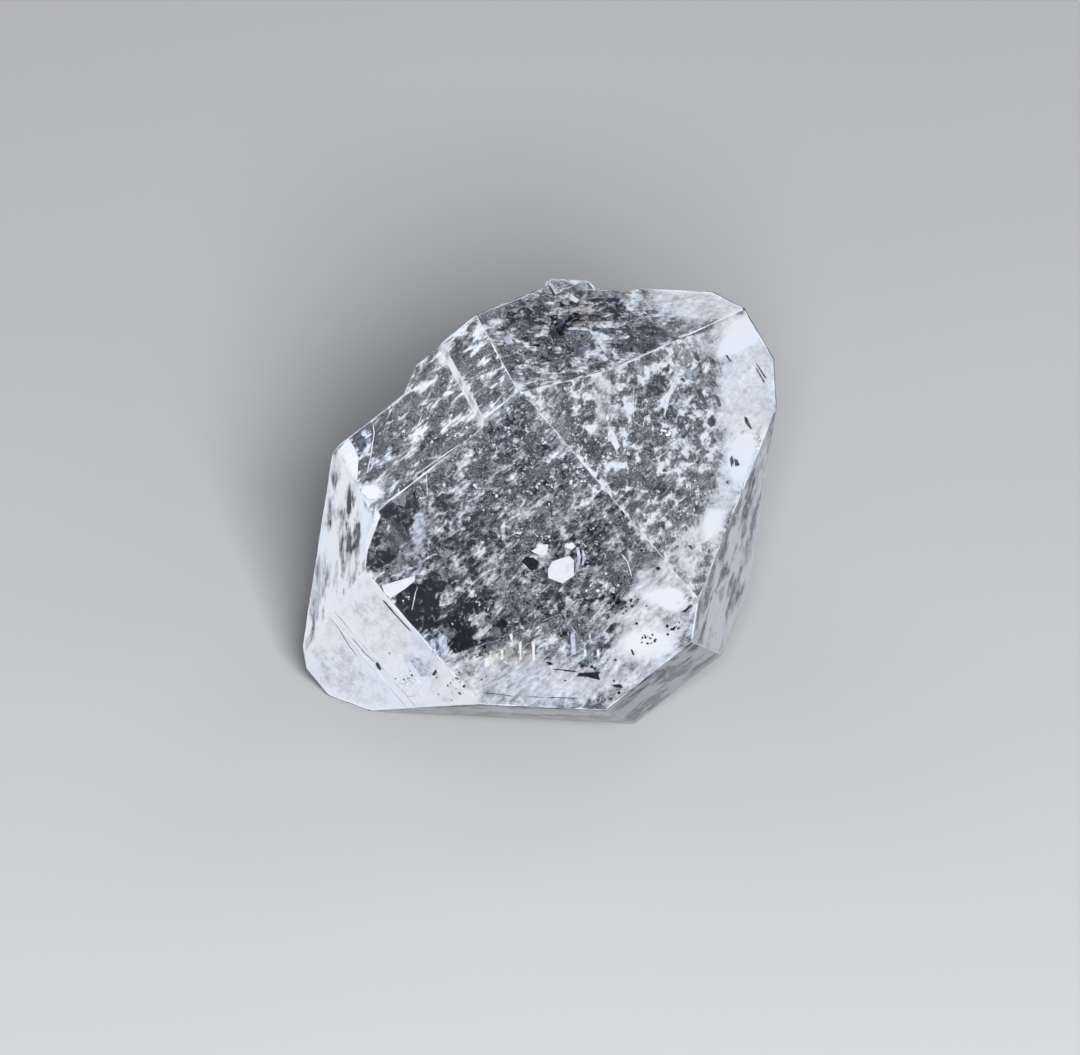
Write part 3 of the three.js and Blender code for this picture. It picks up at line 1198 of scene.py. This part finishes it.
def add_plate(name, solid, outline, material):
    """A thin flat plate with an outline given as seen. Its substance is densest in the middle."""
    middle = np.mean(outline, axis=0)
    rings = [middle + share * (np.array(outline) - middle) for share in (0.55, 0.85, 1.0)]
    places = [middle, *np.concatenate(rings)]
    found = [seen_at(solid, across, up, PLATE_DEPTH) for across, up in np.array(places).tolist()]
    points, ways = (np.array(values) for values in zip(*found))
    count = len(outline)
    faces = [(0, k + 1, (k + 1) % count + 1) for k in range(count)]
    for ring in range(2):
        for k in range(count):
            a, b = 1 + ring * count + k, 1 + ring * count + (k + 1) % count
            faces.extend(two_triangles(a, b, count))
    density = np.repeat(CRISP if name in CRISP_PLATES else SOFT, (1, count, count, count))
    normal = -unit(np.mean(ways, axis=0))
    points, faces = closed_sheet(points, np.array(faces), normal, PLATE_HALF)
    piece = add_piece(name, points, faces, material)
    set_milk(piece, points, C_AXIS, np.tile(density, 2), 1.0, 0.0, PLATE_TINTS.get(name, (1.0, 1.0, 1.0)))
    return piece


def tube_shape(line, radii):
    """A closed tube of six sides along a line of points."""
    tangents = unit(np.gradient(line, axis=0))
    sides = unit(np.cross(tangents, BACK))
    others = np.cross(tangents, sides)
    turn = np.arange(RING) * 2 * math.pi / RING
    ring = np.cos(turn)[None, :, None] * sides[:, None] + np.sin(turn)[None, :, None] * others[:, None]
    points = (line[:, None] + radii[:, None, None] * ring).reshape(-1, 3)
    faces = []
    for k in range(len(line) - 1):
        for j in range(RING):
            a, b = k * RING + j, k * RING + (j + 1) % RING
            faces.append((a, b, b + RING, a + RING))
    faces.append(tuple(range(RING))[::-1])
    faces.append(tuple(range(len(points) - RING, len(points))))
    return points, faces


def add_thread(name, solid, places, radius, material, seed):
    """A thin thread through places as seen, a little uneven in width."""
    draw = np.random.default_rng(seed)
    line = []
    for (x0, y0), (x1, y1) in zip(places[:-1], places[1:]):
        steps = max(2, round(math.hypot(x1 - x0, y1 - y0) / THREAD_STEP))
        for k in range(steps):
            share = k / steps
            line.append(seen_at(solid, x0 + share * (x1 - x0), y0 + share * (y1 - y0), THREAD_DEPTH)[0])
    line.append(seen_at(solid, *places[-1], THREAD_DEPTH)[0])
    line = np.array(line)
    radii = radius * draw.uniform(0.6, 1.2, len(line))
    radii[[0, -1]] = 0.3 * radius
    points, faces = tube_shape(line, radii)
    return add_piece(name, points, faces, material)


# Plates and threads: places across and up as seen, from the crystal's centre. A thread also has a radius
# and a look.
WHITE_PLATES = {
    "flash_large": [(0.35, -3.1), (0.55, -2.75), (1.3, -2.52), (1.5, -2.7), (1.5, -3.4), (1.0, -3.75),
                    (0.35, -3.5)],
    "flash_small": [(-0.4, -2.3), (0.1, -2.0), (0.35, -2.0), (0.3, -2.45), (-0.05, -2.48)],
    "flash_top": [(1.0, -1.95), (1.5, -1.8), (1.65, -2.1), (1.45, -2.3), (1.05, -2.15)],
    "bar": [(-7.1, -3.85), (-6.3, -3.6), (-5.6, -3.4), (-5.65, -3.65), (-6.0, -3.95), (-6.7, -4.4),
            (-7.0, -4.15)],
    "wedge": [(-6.25, -7.2), (-5.9, -7.55), (-5.3, -8.3), (-5.4, -8.9), (-6.0, -8.9), (-6.4, -8.2)],
    "corner_upper": [(-9.0, 2.3), (-8.6, 2.75), (-8.35, 2.35), (-8.15, 1.9), (-8.22, 0.75), (-8.6, 1.3),
                     (-8.85, 1.9)],
    "corner_lower": [(-8.0, 0.65), (-7.2, 0.75), (-6.9, 0.3), (-7.1, 0.0), (-7.7, 0.05), (-8.05, 0.3)],
    "left_band": [(-7.35, -0.3), (-7.15, -0.7), (-7.6, -1.9), (-7.95, -2.9), (-8.0, -2.5), (-7.65, -1.2)],
    "streak_right": [(6.0, 5.5), (6.2, 5.75), (6.3, 5.3), (5.85, 4.7), (5.62, 3.9), (5.45, 3.2), (5.5, 4.2),
                     (5.7, 4.9)],
    "streak_head": [(2.7, 4.4), (2.95, 4.6), (3.1, 3.6), (3.6, 2.3), (3.45, 2.05), (2.95, 2.9)],
    "crest_spot": [(1.35, 9.25), (1.5, 9.15), (1.75, 9.0), (1.6, 8.85), (1.35, 9.0)],
    "stripe_1": [(-1.8, -6.7), (-1.66, -6.6), (-1.62, -7.15), (-1.78, -7.25)],
    "stripe_2": [(-0.98, -6.3), (-0.84, -6.25), (-0.8, -7.2), (-0.95, -7.3)],
    "stripe_3": [(-0.4, -6.3), (-0.25, -6.2), (-0.2, -7.3), (-0.36, -7.4)],
    "stripe_4": [(-2.5, -7.1), (-2.3, -7.05), (-2.25, -7.55), (-2.5, -7.6)],
    "stripe_5": [(-1.4, -6.0), (-1.25, -5.9), (-1.2, -6.4), (-1.32, -6.45)],
    "stripe_6": [(1.9, -6.3), (2.05, -6.2), (2.1, -7.1), (1.95, -7.2)],
    "stripe_7": [(2.5, -6.5), (2.65, -6.4), (2.7, -7.2), (2.55, -7.3)],
    "stripe_8": [(2.15, -5.9), (2.28, -5.85), (2.3, -6.5), (2.18, -6.6)],
}
BLUE_PLATES = {
    "blue_1": [(-4.95, -6.3), (-4.75, -6.2), (-4.62, -7.0), (-4.85, -6.9)],
    "blue_2": [(-4.55, -6.15), (-4.2, -6.1), (-4.15, -6.9), (-4.45, -7.05)],
    "blue_3": [(-5.95, -7.05), (-5.8, -7.0), (-5.2, -7.9), (-5.35, -7.95)],
    "blue_4": [(-5.6, -7.1), (-5.45, -7.05), (-5.05, -7.8), (-5.2, -7.85)],
    "blue_5": [(1.35, -6.0), (1.55, -5.9), (1.6, -6.9), (1.4, -7.0)],
    "blue_6": [(-1.7, 7.3), (-1.4, 7.35), (-1.15, 7.0), (-1.5, 6.95)],
    "blue_7": [(1.6, -2.15), (1.72, -2.12), (1.82, -2.6), (1.72, -3.0), (1.6, -3.0), (1.68, -2.6)],
    "blue_8": [(1.85, -2.25), (1.95, -2.25), (2.03, -2.6), (1.92, -2.95), (1.84, -2.95), (1.9, -2.6)],
}
CARBON_PLATES = {
    "carbon_bar": [(1.6, -7.92), (1.75, -7.76), (2.7, -7.72), (2.6, -7.85), (2.68, -8.08), (2.4, -8.03),
                   (2.1, -7.93)],
    "carbon_left": [(0.22, -7.28), (0.45, -7.27), (0.57, -7.38), (0.4, -7.43)],
    "carbon_right": [(3.15, -8.3), (3.6, -8.27), (3.7, -8.43), (3.4, -8.42)],
    "carbon_low": [(3.42, -8.65), (3.55, -8.56), (3.6, -8.7), (3.5, -8.74)],
    "carbon_foot": [(-7.41, -7.35), (-7.33, -7.3), (-7.14, -7.6), (-7.2, -7.66), (-7.32, -7.55)],
    "carbon_dot_1": [(-4.87, -7.84), (-4.7, -7.6), (-4.63, -7.74), (-4.77, -7.9)],
    "carbon_dot_2": [(5.15, -3.05), (5.3, -2.99), (5.4, -3.1), (5.25, -3.16)],
    "carbon_dot_3": [(-6.8, -6.86), (-6.75, -6.84), (-6.74, -6.92), (-6.79, -6.93)],
    "carbon_hook": [(6.36, -5.0), (6.5, -5.06), (6.74, -4.76), (6.6, -4.84)],
    "carbon_small_1": [(6.6, -2.05), (6.75, -2.03), (6.84, -2.2), (6.78, -2.22)],
    "carbon_small_2": [(4.05, -6.72), (4.12, -6.7), (4.22, -6.95), (4.15, -6.98)],
    "dark_eye": [(-0.85, -2.75), (-0.65, -2.55), (-0.3, -2.6), (-0.05, -2.8), (-0.15, -3.1), (-0.4, -3.2),
                 (-0.65, -2.95)],
}
# Painted shade: dark grey plates at pits, rhombs, a wing and a corner, whose darkness stands in for shade
# where the crystal looks dark through.
SHADE_PLATES = {
    "pit_1": [(6.85, 6.6), (7.0, 6.65), (7.2, 6.3), (7.1, 6.2), (6.95, 6.3)],
    "pit_2": [(7.6, 6.3), (7.75, 6.35), (7.88, 6.15), (7.75, 6.05), (7.62, 6.1)],
    "pit_3": [(8.3, 6.5), (8.4, 6.5), (8.6, 6.2), (8.5, 6.2)],
    "pit_4": [(7.65, 5.35), (7.8, 5.35), (8.02, 5.05), (7.9, 5.1)],
    "pit_5": [(7.0, 4.9), (7.15, 5.0), (7.42, 4.5), (7.35, 4.35), (7.15, 4.5)],
    "pit_6": [(7.85, 4.65), (7.98, 4.65), (8.14, 4.25), (8.05, 4.15), (7.92, 4.35)],
    "pit_7": [(7.5, 3.6), (7.7, 3.78), (7.88, 3.6), (7.85, 3.35), (7.65, 3.25), (7.5, 3.4)],
    "pit_8": [(9.15, 3.75), (9.28, 3.7), (9.52, 3.15), (9.42, 3.2), (9.2, 3.45)],
    "pit_9": [(8.5, 1.85), (8.6, 2.0), (8.7, 1.7), (8.58, 1.45)],
    "pit_10": [(8.7, 1.85), (8.85, 1.8), (8.95, 1.55), (8.75, 1.5)],
    "rhomb_1": [(9.64, 6.2), (9.74, 6.1), (10.16, 5.5), (10.1, 5.45)],
    "rhomb_2": [(9.64, 5.98), (9.72, 5.9), (10.1, 5.3), (10.02, 5.28)],
    "wing": [(2.9, -5.92), (3.15, -5.6), (3.42, -5.5), (3.35, -5.8), (3.1, -5.98)],
    "dark_corner": [(-8.42, 2.9), (-8.1, 2.98), (-7.85, 2.75), (-7.82, 2.45), (-8.1, 2.15), (-8.33, 2.6)],
}
THREADS = [
    ([(0.55, -7.58), (1.1, -7.65), (1.65, -7.7)], 0.03, "carbon"),
    ([(0.2, -7.12), (0.38, -7.05), (0.5, -7.12)], 0.018, "carbon"),
    ([(-2.6, -8.65), (-1.9, -8.72), (-1.2, -8.82)], 0.016, "carbon"),
    ([(-0.6, -8.83), (0.15, -8.86)], 0.014, "carbon"),
    ([(0.3, -8.87), (1.0, -8.88), (1.7, -8.9)], 0.016, "carbon"),
    ([(-10.35, -5.05), (-10.15, -5.45), (-10.12, -5.8), (-10.3, -6.3), (-10.5, -6.65)], 0.014, "carbon"),
    ([(-9.15, -5.61), (-8.75, -6.3), (-8.22, -7.06)], 0.018, "carbon"),
    ([(-8.45, -6.2), (-7.95, -6.8), (-7.44, -7.3)], 0.016, "carbon"),
    ([(-7.05, -4.5), (-6.4, -5.25), (-5.8, -5.9)], 0.045, "carbon"),
    ([(-6.8, -4.6), (-6.2, -5.25), (-5.7, -5.85)], 0.03, "frost"),
    ([(8.2, 8.05), (7.0, 7.5), (6.2, 7.2)], 0.010, "carbon"),
    ([(5.3, 6.9), (4.2, 6.4), (3.6, 6.1)], 0.016, "carbon"),
    ([(0.5, 5.22), (-0.2, 5.08), (-1.0, 4.8)], 0.016, "carbon"),
    ([(3.65, -2.45), (3.92, -2.8), (4.1, -3.45)], 0.022, "frost"),
    ([(-7.5, 3.4), (-7.45, 3.0), (-7.6, 2.0), (-7.75, 1.2)], 0.022, "frost"),
    ([(-6.6, 4.2), (-6.9, 3.6)], 0.018, "frost"),
    ([(-5.3, 3.8), (-5.6, 3.1)], 0.016, "frost"),
    ([(4.2, 5.0), (4.15, 4.2), (4.2, 3.5), (4.6, 3.25), (4.7, 3.8)], 0.014, "frost"),
    ([(5.2, 1.8), (5.7, 2.2)], 0.018, "frost"),
    ([(6.2, -0.1), (6.55, 0.15)], 0.02, "frost"),
    ([(-5.75, -4.95), (-5.6, -4.2), (-5.5, -3.9)], 0.02, "frost"),
    ([(-5.1, 1.2), (-5.05, 0.1)], 0.016, "frost"),
    ([(-3.6, 2.5), (-5.6, 1.1)], 0.022, "frost"),
    ([(-1.5, 4.9), (-2.5, 3.8)], 0.022, "frost"),
]


def make_details(solid, looks):
    for kind, plates in (("milk", WHITE_PLATES), ("blue_white", BLUE_PLATES), ("carbon", CARBON_PLATES),
                         ("painted_shade", SHADE_PLATES)):
        for name, outline in plates.items():
            yield add_plate(name, solid, outline, looks[kind])
    for number, (places, radius, kind) in enumerate(THREADS):
        yield add_thread(f"thread_{number + 1}", solid, places, radius, looks[kind], number)


# Clusters of black grains: place across and up as seen, spread, and number of grains.
CARBON_CLUSTERS = [
    (5.8, -5.75, 0.22, 12),
    (4.9, -6.3, 0.25, 14),
    (4.1, -4.8, 0.40, 20),
    (5.0, -2.2, 0.35, 12),
    (-2.65, -6.85, 0.25, 10),
    (-3.8, -8.3, 0.40, 16),
    (-6.1, -8.1, 0.35, 7),
    (2.4, -7.3, 0.50, 14),
    (7.6, 1.4, 0.40, 8),
]


def make_carbon_grains(solid, material):
    """Black grains that lie flat below the surface."""
    draw = np.random.default_rng(13)
    places = [seen_at(solid, draw.normal(across, spread), draw.normal(up, 0.7 * spread), GRAIN_DEPTH)
              for across, up, spread, count in CARBON_CLUSTERS for _ in range(count)]
    centres, ways = (np.array(values) for values in zip(*places))
    sizes = np.clip(0.045 * np.exp(0.5 * draw.normal(size=len(centres))), 0.02, 0.085)
    points, faces = flake_shapes(centres, sizes, draw.uniform(0.1, 0.2, len(centres)), draw, ways)
    return add_piece("carbon_grains", points, faces.tolist(), material)


def make_edges(skin, material):
    """The bruised edges: fine white threads just below the crystal's convex edges, broken in places. They
    are partly bruising and partly a painted highlight, the bright lines that the edges catch.
    """
    base = np.concatenate(skin.points) + np.concatenate(skin.moves)
    inward = np.concatenate(skin.inward)
    noise = Noise(61)
    shapes = []
    for edge, numbers in skin.chains.items():
        if len(numbers) < FEWEST_ON_EDGE or not skin.is_convex[edge]:
            continue
        inner = numbers[1:-1]
        line = base[inner] + EDGE_DEPTH * inward[inner]
        radii = 0.006 + 0.026 * np.clip(0.35 + 1.3 * noise(line / 0.8), 0, 1)
        shapes.append(tube_shape(line, radii))
    return add_piece("bruised_edges_and_highlight", *joined(shapes), material)


# ---- The scene -------------------------------------------------------------------------------------

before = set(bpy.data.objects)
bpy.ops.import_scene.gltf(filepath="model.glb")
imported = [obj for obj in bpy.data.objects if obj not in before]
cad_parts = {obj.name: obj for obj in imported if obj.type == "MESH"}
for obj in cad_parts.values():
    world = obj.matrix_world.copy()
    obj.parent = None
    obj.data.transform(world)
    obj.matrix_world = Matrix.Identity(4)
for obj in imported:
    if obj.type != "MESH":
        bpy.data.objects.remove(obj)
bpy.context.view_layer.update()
inside = bpy.data.collections.new("inside")
make_camera()
make_studio(inside)
make_floor()
set_rendering()
solid, skin, facets = make_crystal(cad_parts["quartz_crystal"], quartz_material())
void = void_material()
make_voids(solid, void)
make_sheets(solid, void)
milk = milk_material()
looks = {
    "milk": milk,
    "frost": grainy_material("frost", (0.80, 0.84, 0.92, 1.0), (0.92, 0.94, 0.98, 1.0), 0.1),
    "blue_white": grainy_material("blue_white", (0.30, 0.34, 0.43, 1.0), (0.66, 0.71, 0.80, 1.0), 0.15),
    "carbon": grainy_material("carbon", (0.004, 0.005, 0.010, 1.0), (0.03, 0.035, 0.05, 1.0), 0.08),
    # A dark grey for the plates of painted shade.
    "painted_shade": grainy_material("painted_shade", (0.015, 0.02, 0.035, 1.0), (0.12, 0.14, 0.18, 1.0), 0.2),
}
for piece in (make_frost(solid, looks["frost"]), *make_milky_faces(skin, facets, milk),
              *make_veils(solid, milk), *make_details(solid, looks),
              make_carbon_grains(solid, looks["carbon"]), make_edges(skin, looks["frost"])):
    inside.objects.link(piece)
